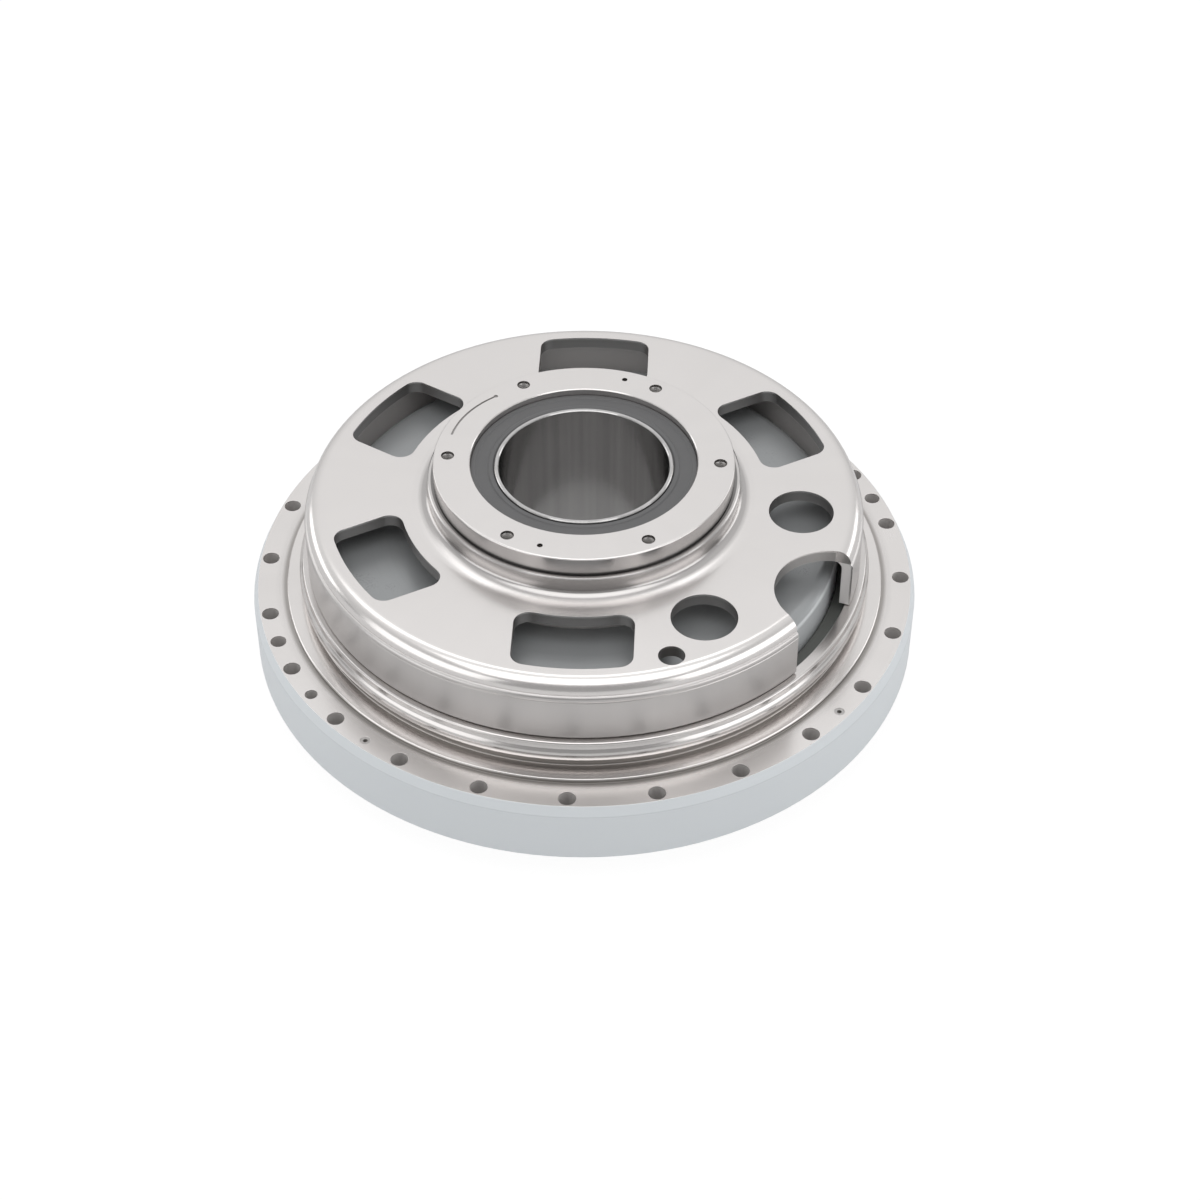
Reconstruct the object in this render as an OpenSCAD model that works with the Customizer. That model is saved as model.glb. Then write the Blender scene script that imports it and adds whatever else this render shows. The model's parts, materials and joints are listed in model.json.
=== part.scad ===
// Hollow-shaft cycloidal reducer: flange case, cycloid stage on three cranks, gear stage and turning output cover.
// Millimetres. The main axis is Z, and the rear spigot's rim lies on z = 0.

/* [Case] */
// Height of the rear spigot below the flange
rear_spigot_h = 18; // [16:0.5:24]
// Wall of the rear spigot outside the rear opening
rear_spigot_wall = 10; // [6:0.5:16]
// Height of the bolting flange
flange_h = 45.3; // [40:0.1:47]
// Width of the cast taper round the flange's top edge
rim_taper_w = 3; // [1:0.1:4]
// Height of that taper
rim_taper_h = 6.5; // [2:0.1:8]
// Width of the flange outside its raised ring
flange_w = 22.5; // [20:0.5:32]
// Distance of the bolt circle from the flange's rim
flange_hole_inset = 9.8; // [8:0.1:12]
// Radius of a flange bolt hole
flange_hole_r = 5.5; // [4:0.1:6]
// Number of evenly spaced flange bolt holes
flange_hole_n = 24; // [12:4:24]
// Radius of a tapped jacking hole in the flange
flange_jack_r = 5.1; // [4.3:0.1:5.2]
// Radius of a flange dowel hole
flange_dowel_r = 4; // [3:0.1:4.5]
// Radius of a grease plug
plug_r = 3.2; // [2.5:0.1:4]
// Height of the raised ring on the flange
ring_h = 2.7; // [1.5:0.1:4]
// Width of the raised ring
ring_w = 13; // [8:0.5:18]
// Height of the neck groove above the raised ring
neck_h = 5; // [3:0.1:6]
// Depth of the neck groove under the spigot's top edge
neck_depth = 1.5; // [1:0.1:3]
// Swell of the bead outside the spigot's top edge
bead_swell = 2.4; // [1:0.1:4]
// Wall of the front spigot round the oil seal
spigot_wall = 8; // [6:0.1:12]
// Height of the front spigot above the oil seal
spigot_rise = 6.2; // [3:0.1:10]

/* [Main bearings and seal] */
// Radial distance from the pin circle to the back of the outer races
race_back = 9; // [8:0.1:12]
// Radial section of a main bearing
bearing_section = 22; // [20:0.5:24]
// Width of a main bearing
bearing_w = 13; // [12.5:0.1:15]
// Radius of a main bearing ball
ball_r = 5.5; // [4.5:0.1:6]
// Balls in one main bearing
ball_n = 60; // [40:1:64]
// Radial section of the main oil seal
seal_section = 10.5; // [9:0.1:12]
// Width of the main oil seal
seal_w = 8; // [6:0.1:10]

/* [Cycloid stage] */
// Radius of the circle through the ring pins
pin_circle_r = 168; // [160:0.5:180]
// Radius of a ring pin
pin_r = 5; // [4:0.1:6]
// Number of ring pins, an even number
pin_n = 40; // [36:2:44]
// Throw of the eccentrics
throw = 2.5; // [1.5:0.1:3]
// Thickness of a cycloid disc
disc_t = 14.5; // [12:0.1:17]
// Gap between the two discs
disc_gap = 1; // [0.6:0.1:2]
// Room between the pipe and a disc at the end of its throw
disc_bore_room = 5.7; // [2:0.1:8]

/* [Cranks] */
// Radius of an eccentric journal
eccentric_r = 21; // [19:0.5:23]
// Radius of a needle roller
needle_r = 2.5; // [2:0.1:3]
// Needle rollers round one eccentric
needle_n = 24; // [18:1:24]
// Radius of a crank's main journals
journal_r = 15; // [13:0.5:16]
// Outer radius of a crank bearing's cup
cup_r = 28; // [27:0.5:30]
// Radius of a crank's tail
tail_r = 11; // [9:0.5:12]
// Radius of a taper roller at its middle
taper_roller_r = 2.6; // [2.2:0.1:3]
// Rollers in one crank bearing
taper_roller_n = 18; // [12:1:20]

/* [Gear stage] */
// Gear module
gear_module = 2.5; // [2.4:0.05:2.6]
// Least wall of the centre gear between its bearing and the tooth roots
gear_rim_t = 3; // [2:0.1:3.2]
// Teeth of a spur gear, an even number
spur_teeth = 24; // [22:2:26]
// Width of the gears
gear_w = 9; // [7:0.5:11]
// Radius of a ball in the centre gear's bearing
gear_ball_r = 1.7; // [1.3:0.1:2]
// Balls in the centre gear's bearing
gear_ball_n = 60; // [40:1:70]

/* [Carrier] */
// Thickness of the rear carrier
rear_carrier_t = 13.5; // [13:0.1:16]
// Inner radius of a pillar
pillar_r_in = 82; // [78:0.5:88]
// Outer radius of a pillar
pillar_r_out = 132; // [120:0.5:138]
// Half of a pillar's width
pillar_half_w = 40; // [30:0.5:44]
// Height of the drum above the case
drum_rise = 20.3; // [16:0.1:26]
// Height of the drum's rounded shoulder
shoulder_h = 6.5; // [3:0.1:9]
// Width of the drum's rounded shoulder
shoulder_w = 8.5; // [4:0.1:11]
// Radius of a carrier bolt's shank
bolt_r = 4; // [3:0.5:5]
// Radius of a carrier dowel
dowel_r = 5; // [4:0.5:6]

/* [Output cover] */
// Height of the cover's plate above the drum
cover_h = 24; // [20:0.1:32]
// Thickness of the cover's plate
plate_t = 8.5; // [6:0.1:10]
// Step from the front spigot's edge in to the cover's wall
cover_step = 4; // [2:0.1:6]
// Thickness of the cover's wall
wall_t = 7.2; // [5:0.1:7.5]
// Width of the cover's rounded top edge
edge_w = 11; // [7:0.1:14]
// Height of the cover's rounded top edge
edge_h = 9; // [6:0.1:12]
// Inner radius of the windows
window_r_in = 119.8; // [116:0.1:128]
// Outer radius of the windows
window_r_out = 166; // [150:0.1:168]
// Half of a window's width
window_half_w = 37.4; // [25:0.1:42]
// Corner radius of the windows
window_corner_r = 9.5; // [6:0.1:14]
// Direction of the first window, in degrees
window_a = 27.5; // [20:0.1:35]
// Radius of the bite through plate and wall
bite_r = 36.5; // [28:0.1:40]
// Direction of the bite, in degrees
bite_a = -31.5; // [-34:0.1:-30]
// Radius of the two large round holes
port_r = 20.9; // [15:0.1:21.5]
// Distance of the large round holes from the axis
port_circle_r = 141.5; // [138:0.1:145]
// Middle direction of the two large round holes, in degrees
port_mid_a = -33.3; // [-34:0.1:-31]
// Angle from that direction to each large round hole
port_half_a = 24.9; // [24:0.1:26]
// Radius of the small round hole
sight_r = 8.3; // [5:0.1:9]
// Distance of the small round hole from the axis
sight_circle_r = 163.4; // [158:0.1:165]
// Direction of the small round hole, in degrees
sight_a = -70.8; // [-72:0.1:-69]

/* [Hub] */
// Height of the hub above the cover's plate
hub_h = 26.7; // [20:0.1:34]
// Radius of the hub's register
hub_r = 97.2; // [96:0.1:100]
// Height of the hub's register
register_h = 12.2; // [8:0.1:15]
// Step from the register out to the hub's foot
hub_step = 4; // [2:0.1:6]
// Width of the blend from the hub's foot to the plate
hub_blend = 12; // [6:0.1:14]
// Distance of the hub's bolt circle in from the register
hub_hole_inset = 9.3; // [8:0.1:11]
// Core radius of a tapped hub hole
hub_hole_r = 4.25; // [3:0.05:5]
// Direction of the first hub hole, in degrees
hub_hole_a = -2.6; // [-10:0.1:10]
// Radius of a hub dowel hole
hub_dowel_r = 1.8; // [1:0.1:3]
// Radius of a cover screw's shank
cover_screw_r = 3; // [2:0.5:3.5]

// Width of the timing groove cut in the hub's face
timing_groove_w = 1.4; // [1:0.1:2]
// Depth of the timing groove
timing_groove_depth = 0.7; // [0.4:0.1:1]
// Radius of the sweep of the timing groove
timing_sweep_r = 66; // [60:0.5:70]

/* [Centre pipe] */
// Outer radius of the centre pipe
pipe_r = 57.8; // [56.5:0.1:59]
// Wall of the centre pipe
pipe_wall = 2.8; // [1.8:0.1:5]
// Depth of the pipe's rim below the hub's face
pipe_sink = 3.7; // [2:0.1:6]
// Radial section of the hub seal
hub_seal_section = 15.5; // [14:0.1:17]
// Width of the hub seal
hub_seal_w = 8; // [6:0.1:12]

/* [Hidden] */
$fn = 96;

// Clearances
seat = 0.03;
run = 0.3;
mesh_gap = 0.35;
flank_gap = 0.13;
through = 1;

// Radial chain, from the pin circle outwards
race_r_out = pin_circle_r + race_back;
race_r_in = race_r_out - bearing_section;
ball_circle_r = (race_r_out + race_r_in) / 2;
seal_bore_r = race_r_out + 1;
drum_r = seal_bore_r - seal_section;
spigot_r = seal_bore_r + spigot_wall;
neck_r = spigot_r - neck_depth;
ring_r = neck_r + ring_w;
flange_r = ring_r + flange_w;
flange_hole_circle_r = flange_r - flange_hole_inset;
rear_opening_r = race_r_out + 3;
rear_spigot_r = rear_opening_r + rear_spigot_wall;
pin_bore_r = pin_circle_r + 1;
cover_r = spigot_r - cover_step;
cover_r_in = cover_r - wall_t;

// Gear bearing and centre gear, whose teeth share out among three cranks
gear_race_t = 2.2;
gear_ball_circle_r = pipe_r + gear_race_t + gear_ball_r;
gear_bore_r = gear_ball_circle_r + gear_ball_r + gear_race_t;
tooth_root_h = 1.25 * gear_module;
centre_teeth = 3 * ceil(2 * (gear_bore_r + gear_rim_t + tooth_root_h) / gear_module / 3);
crank_circle_r = gear_module * (centre_teeth + spur_teeth) / 2;
disc_bore_r = pipe_r + throw + disc_bore_room;
disc_crank_bore_r = eccentric_r + 2 * needle_r + run + seat;
window_growth = throw + 2 * run;

// Axial chain, from the floor upwards
tail_z = 1;
gear_z = 3;
rear_carrier_z = gear_z + gear_w + 1;
lower_race_z = rear_carrier_z + 1;
pin_z = lower_race_z + bearing_w;
disc_side = 0.5;
lower_disc_z = pin_z + disc_side;
upper_disc_z = lower_disc_z + disc_t + disc_gap;
upper_race_z = upper_disc_z + disc_t + disc_side;
pillar_z = rear_carrier_z + rear_carrier_t;
front_carrier_z = upper_race_z + run;
drum_z = upper_race_z + bearing_w;
seal_z = drum_z + 0.5;
spigot_z = seal_z + seal_w + spigot_rise;
flange_z = rear_spigot_h + flange_h;
ring_z = flange_z + ring_h;
neck_z = ring_z + neck_h;
drum_top_z = spigot_z + drum_rise;
plate_z = drum_top_z + cover_h;
hub_z = plate_z + hub_h;
wall_z = spigot_z + 0.7;
pipe_top_z = hub_z - pipe_sink;
hub_seal_z = pipe_top_z - hub_seal_w - 0.8;
hub_bore_r = pipe_r + hub_seal_section;
foot_r = hub_r + hub_step;
hub_hole_circle_r = hub_r - hub_hole_inset;
plug_a = hub_hole_a - 37.5;
plug_depth = 8;
plug_l = plug_depth - 0.4;
cover_screw_head_r = cover_screw_r * 5 / 3;
cover_screw_circle_r = pipe_r + cover_screw_head_r + 2.2;
cover_flange_t = 10;
pipe_room = 2;
pillar_corner_r = 9;

// Crank bearings
taper_a = 10;
crank_bearing_w = 12;
lower_crank_bearing_z = pillar_z - crank_bearing_w;
upper_crank_bearing_z = front_carrier_z;
crank_top_z = upper_crank_bearing_z + crank_bearing_w + 1;
taper_circle_r = (journal_r + cup_r) / 2;
taper_half_a = atan(taper_roller_r * sin(taper_a) / taper_circle_r);
taper_roller_l = crank_bearing_w - 3;
retaining_ring_t = 1.2;

// Points of an arc about [x, y], from angle a to angle b
function arc(x, y, r, a, b, n = 8) =
    [for (i = [0:n]) [x + r * cos(a + (b - a) * i / n), y + r * sin(a + (b - a) * i / n)]];

// Points of an elliptical arc about [x, y]
function oval_arc(x, y, rx, ry, a, b, n = 8) =
    [for (i = [0:n]) [x + rx * cos(a + (b - a) * i / n), y + ry * sin(a + (b - a) * i / n)]];

// Outline between two radii with straight sides and rounded corners, pointing along +X
function window_outline(r_in, r_out, half_w, corner_r) =
    let (
        w = half_w - corner_r,
        a_out = asin(w / (r_out - corner_r)),
        a_in = asin(w / (r_in + corner_r)),
        x_out = (r_out - corner_r) * cos(a_out),
        x_in = (r_in + corner_r) * cos(a_in),
        n = 8
    )
    concat(
        arc(x_out, w, corner_r, a_out, 90, n),
        arc(x_in, w, corner_r, 90, 180 + a_in, n),
        [for (i = [1:n - 1]) r_in * [cos(a_in - 2 * a_in * i / n), sin(a_in - 2 * a_in * i / n)]],
        arc(x_in, -w, corner_r, 180 - a_in, 270, n),
        arc(x_out, -w, corner_r, 270, 360 - a_out, n),
        [for (i = [1:n - 1]) r_out * [cos(-a_out + 2 * a_out * i / n), sin(-a_out + 2 * a_out * i / n)]]
    );

// Contact angle of a cycloid disc's outline at ring angle t
function contact_a(t) =
    atan2(sin((1 - pin_n) * t), pin_circle_r / (throw * pin_n) - cos((1 - pin_n) * t));

// Outline of a cycloid disc about its own centre, with one lobe fewer than there are ring pins.
// The points crowd towards the valleys, where the outline turns fastest.
function cycloid_outline(steps) =
    let (r = pin_r + mesh_gap, lobes = pin_n - 1, count = lobes * steps, crowd = 0.6 * 180 / PI / lobes)
    [for (i = [0:count - 1])
        let (u = 360 * i / count, t = u - crowd * sin(lobes * u), c = t + contact_a(t))
        [
            pin_circle_r * cos(t) - r * cos(c) - throw * cos(pin_n * t),
            pin_circle_r * sin(t) - r * sin(c) - throw * sin(pin_n * t)
        ]
    ];

// Involute function of an angle, in degrees
function involute(a) = tan(a) * 180 / PI - a;

// Half of the angle that a tooth of n teeth spans at radius r
function tooth_half_a(n, r) =
    let (pitch_r = gear_module * n / 2, base_r = pitch_r * cos(20), a = acos(min(1, base_r / r)))
    90 / n - flank_gap / pitch_r * 180 / PI + involute(20) - involute(a);

// Outline of a spur gear with one tooth on +X
function gear_outline(n) =
    let (
        pitch_r = gear_module * n / 2,
        root_r = pitch_r - tooth_root_h,
        tip_r = pitch_r + gear_module,
        start_r = max(root_r + 0.4, pitch_r * cos(20) + 0.02),
        steps = 4,
        radii = [for (i = [0:steps]) start_r + (tip_r - start_r) * i / steps],
        root_a = tooth_half_a(n, start_r) + 0.6 * 12 / n
    )
    [for (k = [0:n - 1])
        let (mid = 360 * k / n)
        for (p = concat(
            [[root_r, -root_a]],
            [for (r = radii) [r, -tooth_half_a(n, r)]],
            [for (i = [steps:-1:0]) [radii[i], tooth_half_a(n, radii[i])]],
            [[root_r, root_a]]
        ))
        p[0] * [cos(mid + p[1]), sin(mid + p[1])]
    ];

// Copies of its children turned evenly round the Z axis
module around(n, first = 0) {
    for (i = [0:n - 1]) rotate(first + 360 * i / n) children();
}

// Ring between two radii
module ring(r_in, r_out, h) {
    difference() {
        cylinder(r = r_out, h = h);
        translate([0, 0, -through]) cylinder(r = r_in, h = h + 2 * through);
    }
}

// Drilled hole from z, upwards
module hole(r, h) {
    translate([0, 0, -through]) cylinder(r = r, h = h + 2 * through);
}

// ---------------------------------------------------------------- case

module case_profile() {
    chamfer = 1;
    bead_z = (neck_z + spigot_z) / 2 - 2;
    polygon(concat(
        [
            [rear_opening_r, 0],
            [rear_spigot_r - chamfer, 0],
            [rear_spigot_r, chamfer],
            [rear_spigot_r, rear_spigot_h],
            [flange_r - rim_taper_w, rear_spigot_h],
            [flange_r, rear_spigot_h + rim_taper_w],
            [flange_r, flange_z - rim_taper_h],
            [flange_r - rim_taper_w, flange_z],
            [ring_r, flange_z],
            [ring_r, ring_z - 0.8],
            [ring_r - 0.8, ring_z],
            [neck_r + 0.6, ring_z],
            [neck_r, ring_z + 0.6],
            [neck_r, neck_z]
        ],
        oval_arc(spigot_r - 1, bead_z, bead_swell + 1, bead_z - neck_z, -80, 60, 10),
        [
            [spigot_r + 0.3, spigot_z - 4],
            [spigot_r, spigot_z - 1.6]
        ],
        arc(spigot_r - 1.4, spigot_z - 1.4, 1.4, 0, 90, 4),
        [
            [seal_bore_r + 0.6, spigot_z],
            [seal_bore_r, spigot_z - 0.6],
            [seal_bore_r, drum_z],
            [race_r_out, drum_z],
            [race_r_out, upper_race_z],
            [pin_bore_r, upper_race_z],
            [pin_bore_r, pin_z],
            [race_r_out, pin_z],
            [race_r_out, lower_race_z],
            [rear_opening_r, lower_race_z]
        ]
    ));
}

module case_flange() {
    dowel_a = hub_hole_a + 37.5;
    jack_a = hub_hole_a + 22.5;
    color("#cfcbc7")
    difference() {
        rotate_extrude() case_profile();
        around(pin_n)
            translate([pin_circle_r, 0, pin_z]) hole(pin_r + seat, upper_race_z - pin_z);
        around(flange_hole_n, hub_hole_a)
            translate([flange_hole_circle_r, 0, rear_spigot_h]) hole(flange_hole_r, flange_h);
        around(2, jack_a)
            translate([flange_hole_circle_r, 0, rear_spigot_h]) hole(flange_jack_r, flange_h);
        around(2, dowel_a)
            translate([flange_hole_circle_r, 0, rear_spigot_h]) hole(flange_dowel_r, flange_h);
        around(4, plug_a)
            translate([flange_hole_circle_r, 0, flange_z - plug_depth]) cylinder(r = plug_r + seat, h = plug_depth + through);
    }
}

module grease_plugs() {
    color("#8d8d8b")
    around(4, plug_a)
        translate([flange_hole_circle_r, 0, flange_z - plug_depth])
            difference() {
                cylinder(r = plug_r, h = plug_l);
                translate([0, 0, plug_l - plug_r]) cylinder(r = plug_r / 2, h = plug_r + through, $fn = 6);
            }
}

module ring_pins() {
    color("#b9bcc0")
    around(pin_n)
        translate([pin_circle_r, 0, pin_z + 0.1]) cylinder(r = pin_r, h = upper_race_z - pin_z - 0.2);
}

// ---------------------------------------------------------------- main bearings and seal

// Races are turned about the ball circle; up is +1 where the outer race's open side faces upwards
module outer_race(up) {
    land = ball_circle_r + ball_r * 0.75;
    relief = ball_circle_r + ball_r * 0.95;
    color("#a9adb2")
    difference() {
        rotate_extrude()
            polygon([
                [land, -up * bearing_w / 2],
                [race_r_out - seat, -up * bearing_w / 2],
                [race_r_out - seat, up * bearing_w / 2],
                [relief, up * bearing_w / 2],
                [land, 0]
            ]);
        rotate_extrude() translate([ball_circle_r, 0]) circle(r = ball_r + run);
    }
}

module inner_race(up) {
    land = ball_circle_r - ball_r * 0.75;
    relief = ball_circle_r - ball_r * 0.95;
    color("#a9adb2")
    difference() {
        rotate_extrude()
            polygon([
                [race_r_in + seat, -up * bearing_w / 2],
                [relief, -up * bearing_w / 2],
                [land, 0],
                [land, up * bearing_w / 2],
                [race_r_in + seat, up * bearing_w / 2]
            ]);
        rotate_extrude() translate([ball_circle_r, 0]) circle(r = ball_r + run);
    }
}

module ball_cage() {
    cage_w = bearing_w - 0.6;
    color("#b8a05a")
    difference() {
        translate([0, 0, -cage_w / 2]) ring(ball_circle_r - 1.4, ball_circle_r + 1.4, cage_w);
        around(ball_n)
            translate([ball_circle_r - 5, 0, 0]) rotate([0, 90, 0]) cylinder(r = ball_r + 0.1, h = 10);
    }
}

module ball_set() {
    color("#c8ccd0")
    around(ball_n) translate([ball_circle_r, 0, 0]) sphere(r = ball_r);
}

upper_bearing_z = upper_race_z + bearing_w / 2;
lower_bearing_z = lower_race_z + bearing_w / 2;

module upper_outer_race() translate([0, 0, upper_bearing_z]) outer_race(1);
module lower_outer_race() translate([0, 0, lower_bearing_z]) outer_race(-1);
module upper_inner_race() translate([0, 0, upper_bearing_z]) inner_race(1);
module lower_inner_race() translate([0, 0, lower_bearing_z]) inner_race(-1);
module upper_ball_cage() translate([0, 0, upper_bearing_z]) ball_cage();
module lower_ball_cage() translate([0, 0, lower_bearing_z]) ball_cage();
module upper_balls() translate([0, 0, upper_bearing_z]) ball_set();
module lower_balls() translate([0, 0, lower_bearing_z]) ball_set();

module main_oil_seal() {
    skin = 1.6;
    color("#4b4f4d")
    translate([0, 0, seal_z])
        rotate_extrude()
            polygon([
                [drum_r + 3.4, 0],
                [seal_bore_r - seat, 0],
                [seal_bore_r - seat, seal_w],
                [drum_r + 1.4, seal_w],
                [drum_r + run, seal_w - 0.9],
                [drum_r + 0.9, seal_w - skin - 1],
                [drum_r + run, 2.2],
                [drum_r + 1.6, 0.8],
                [drum_r + 2.6, seal_w - 2.6],
                [seal_bore_r - skin, seal_w - skin],
                [seal_bore_r - skin, skin],
                [drum_r + 3.4, skin]
            ]);
}

// ---------------------------------------------------------------- output cover

module cover_profile() {
    plate_low = plate_z - plate_t;
    edge_z = plate_z - edge_h;
    blend_h = 4.5;
    boss_r = foot_r + 4;
    head_recess_r = cover_screw_circle_r + cover_screw_head_r + 0.4;
    polygon(concat(
        [
            [cover_r_in, wall_z],
            [cover_r - 0.8, wall_z],
            [cover_r, wall_z + 0.8],
            [cover_r, edge_z - 5]
        ],
        oval_arc(cover_r - 1.6, edge_z - 3.2, 1.6, 2.4, -35, 75, 5),
        [
            [cover_r - 1.8, edge_z - 0.4]
        ],
        oval_arc(cover_r - edge_w, edge_z, edge_w - 1.5, edge_h, 4, 90, 12),
        oval_arc(foot_r + hub_blend, plate_z + blend_h, hub_blend, blend_h, 270, 180, 10),
        [
            [foot_r, hub_z - register_h - 1.2],
            [foot_r - 0.8, hub_z - register_h - 0.4],
            [hub_r - 0.8, hub_z - register_h - 0.4],
            [hub_r - 0.8, hub_z - register_h + 0.4],
            [hub_r, hub_z - register_h + 0.8]
        ],
        arc(hub_r - 1, hub_z - 1, 1, 0, 90, 4),
        [
            [hub_bore_r + 0.6, hub_z],
            [hub_bore_r, hub_z - 0.6],
            [hub_bore_r, hub_seal_z],
            [head_recess_r, hub_seal_z],
            [head_recess_r, drum_top_z + cover_flange_t],
            [pipe_r + pipe_room, drum_top_z + cover_flange_t],
            [pipe_r + pipe_room, drum_top_z],
            [boss_r, drum_top_z],
            [boss_r, plate_low - 5]
        ],
        arc(boss_r + 5, plate_low - 5, 5, 180, 90, 5),
        arc(cover_r_in - 6, plate_low - 6, 6, 90, 0, 6)
    ));
}

// Holes that the cover's plate and wall carry
module cover_cuts() {
    low = plate_z - plate_t - 2;
    for (i = [0:4])
        rotate(window_a + 60 * i)
            translate([0, 0, low])
                linear_extrude(plate_t + 4)
                    polygon(window_outline(window_r_in, window_r_out, window_half_w, window_corner_r));
    rotate(bite_a) translate([cover_r, 0, wall_z]) hole(bite_r, plate_z - wall_z);
    for (side = [-1, 1])
        rotate(port_mid_a + side * port_half_a)
            translate([port_circle_r, 0, low]) cylinder(r = port_r, h = plate_t + 4);
    rotate(sight_a) translate([sight_circle_r, 0, low]) cylinder(r = sight_r, h = plate_t + 4);
}

module hub_holes() {
    depth = 18;
    around(6, hub_hole_a)
        translate([hub_hole_circle_r, 0, hub_z - depth]) {
            cylinder(r = hub_hole_r, h = depth + through);
        }
    around(2, hub_hole_a + 74.8)
        translate([hub_hole_circle_r, 0, hub_z - 8]) cylinder(r = hub_dowel_r, h = 8 + through);
    around(8)
        translate([cover_screw_circle_r, 0, drum_top_z]) hole(cover_screw_r + 0.3, cover_flange_t);
}

// Curved groove on the hub's face, with a round end, to line the hub up by
module timing_groove() {
    first = 124;
    last = 167.5;
    reach = timing_sweep_r + 4;
    translate([-21.6, 11, hub_z - timing_groove_depth]) {
        intersection() {
            ring(timing_sweep_r - timing_groove_w / 2, timing_sweep_r + timing_groove_w / 2, 2);
            linear_extrude(2)
                polygon([
                    [0, 0],
                    [reach * cos(first), reach * sin(first)],
                    [reach * cos(last) - 8, reach * sin(first)],
                    [reach * cos(last), reach * sin(last)]
                ]);
        }
        rotate(first) translate([timing_sweep_r, 0, 0]) cylinder(r = timing_groove_w, h = 2);
    }
}

module output_cover() {
    color("#dedad8")
    difference() {
        rotate_extrude() cover_profile();
        cover_cuts();
        hub_holes();
        timing_groove();
    }
}

module cover_screws() {
    head_h = 2 * cover_screw_r;
    color("#5a5c5e")
    around(8)
        translate([cover_screw_circle_r, 0, drum_top_z])
            difference() {
                union() {
                    translate([0, 0, -12]) cylinder(r = cover_screw_r, h = 12 + cover_flange_t);
                    translate([0, 0, cover_flange_t]) cylinder(r = cover_screw_head_r, h = head_h);
                }
                translate([0, 0, cover_flange_t + head_h / 2])
                    cylinder(r = cover_screw_r * 0.95, h = head_h, $fn = 6);
            }
}

module hub_seal() {
    lip = 1.2;
    color("#646665")
    translate([0, 0, hub_seal_z])
        rotate_extrude()
            polygon([
                [pipe_r + seat, 0],
                [hub_bore_r - seat, 0],
                [hub_bore_r - seat, hub_seal_w - 0.6],
                [hub_bore_r - 0.6, hub_seal_w],
                [hub_bore_r - 3, hub_seal_w],
                [hub_bore_r - 3.8, hub_seal_w - 0.8],
                [pipe_r + 4.4, hub_seal_w - 0.8],
                [pipe_r + 3.6, hub_seal_w],
                [pipe_r + lip, hub_seal_w],
                [pipe_r + seat, hub_seal_w - lip]
            ]);
}

module centre_pipe() {
    pipe_r_in = pipe_r - pipe_wall;
    edge = 0.6;
    color("#c9c7c4")
    difference() {
        rotate_extrude()
            polygon([
                [pipe_r_in, tail_z + edge],
                [pipe_r_in + edge, tail_z],
                [pipe_r - edge, tail_z],
                [pipe_r, tail_z + edge],
                [pipe_r, pipe_top_z - edge],
                [pipe_r - edge, pipe_top_z],
                [pipe_r_in + edge, pipe_top_z],
                [pipe_r_in, pipe_top_z - edge]
            ]);
        translate([0, 0, gear_z - retaining_ring_t - 0.1])
            ring(pipe_r - 1, pipe_r + through, retaining_ring_t + 0.1);
    }
}

// ---------------------------------------------------------------- carrier

// Places its children at each pillar, pointing outwards along +X
module at_pillars() {
    around(3, 60) children();
}

// Places its children at the carrier bolts of one pillar
module at_pillar_bolts() {
    spread = pillar_half_w - 12;
    inner_x = pillar_r_in + 11;
    outer_x = pillar_r_out - 16;
    translate([inner_x, 0, 0]) children();
    translate([outer_x, spread, 0]) children();
    translate([outer_x, -spread, 0]) children();
}

dowel_x = (pillar_r_in + pillar_r_out) / 2 + 2;
bolt_head_r = 1.6 * bolt_r;
bolt_head_h = 2 * bolt_r;
bolt_grip = rear_carrier_t - bolt_head_h - 0.5;
bolt_l = bolt_grip + 18;

module front_carrier() {
    pillar_h = front_carrier_z - pillar_z;
    corner = pillar_corner_r;
    color("#5b5f62")
    difference() {
        union() {
            rotate_extrude()
                polygon(concat(
                    [
                        [pipe_r + seat, front_carrier_z],
                        [race_r_in, front_carrier_z],
                        [race_r_in, drum_z],
                        [drum_r - 0.8, drum_z],
                        [drum_r, drum_z + 0.8]
                    ],
                    oval_arc(drum_r - shoulder_w, drum_top_z - shoulder_h, shoulder_w, shoulder_h, 0, 90, 12),
                    [
                        [pipe_r + 1, drum_top_z],
                        [pipe_r + seat, drum_top_z - 1]
                    ]
                ));
            at_pillars()
                translate([0, 0, pillar_z])
                    linear_extrude(pillar_h + through)
                        polygon(window_outline(pillar_r_in, pillar_r_out, pillar_half_w, corner));
        }
        around(3) translate([crank_circle_r, 0, front_carrier_z - through]) {
            cylinder(r = cup_r + seat, h = crank_bearing_w + 0.5 + through);
            cylinder(r = cup_r - 6, h = crank_bearing_w + 4 + through);
        }
        at_pillars() {
            at_pillar_bolts() translate([0, 0, pillar_z - through]) cylinder(r = bolt_r + seat, h = 22 + through);
            translate([dowel_x, 0, pillar_z - through]) cylinder(r = dowel_r + seat, h = 13 + through);
        }
        around(8) translate([cover_screw_circle_r, 0, drum_top_z - 14])
            cylinder(r = cover_screw_r + seat, h = 14 + through);
    }
}

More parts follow.
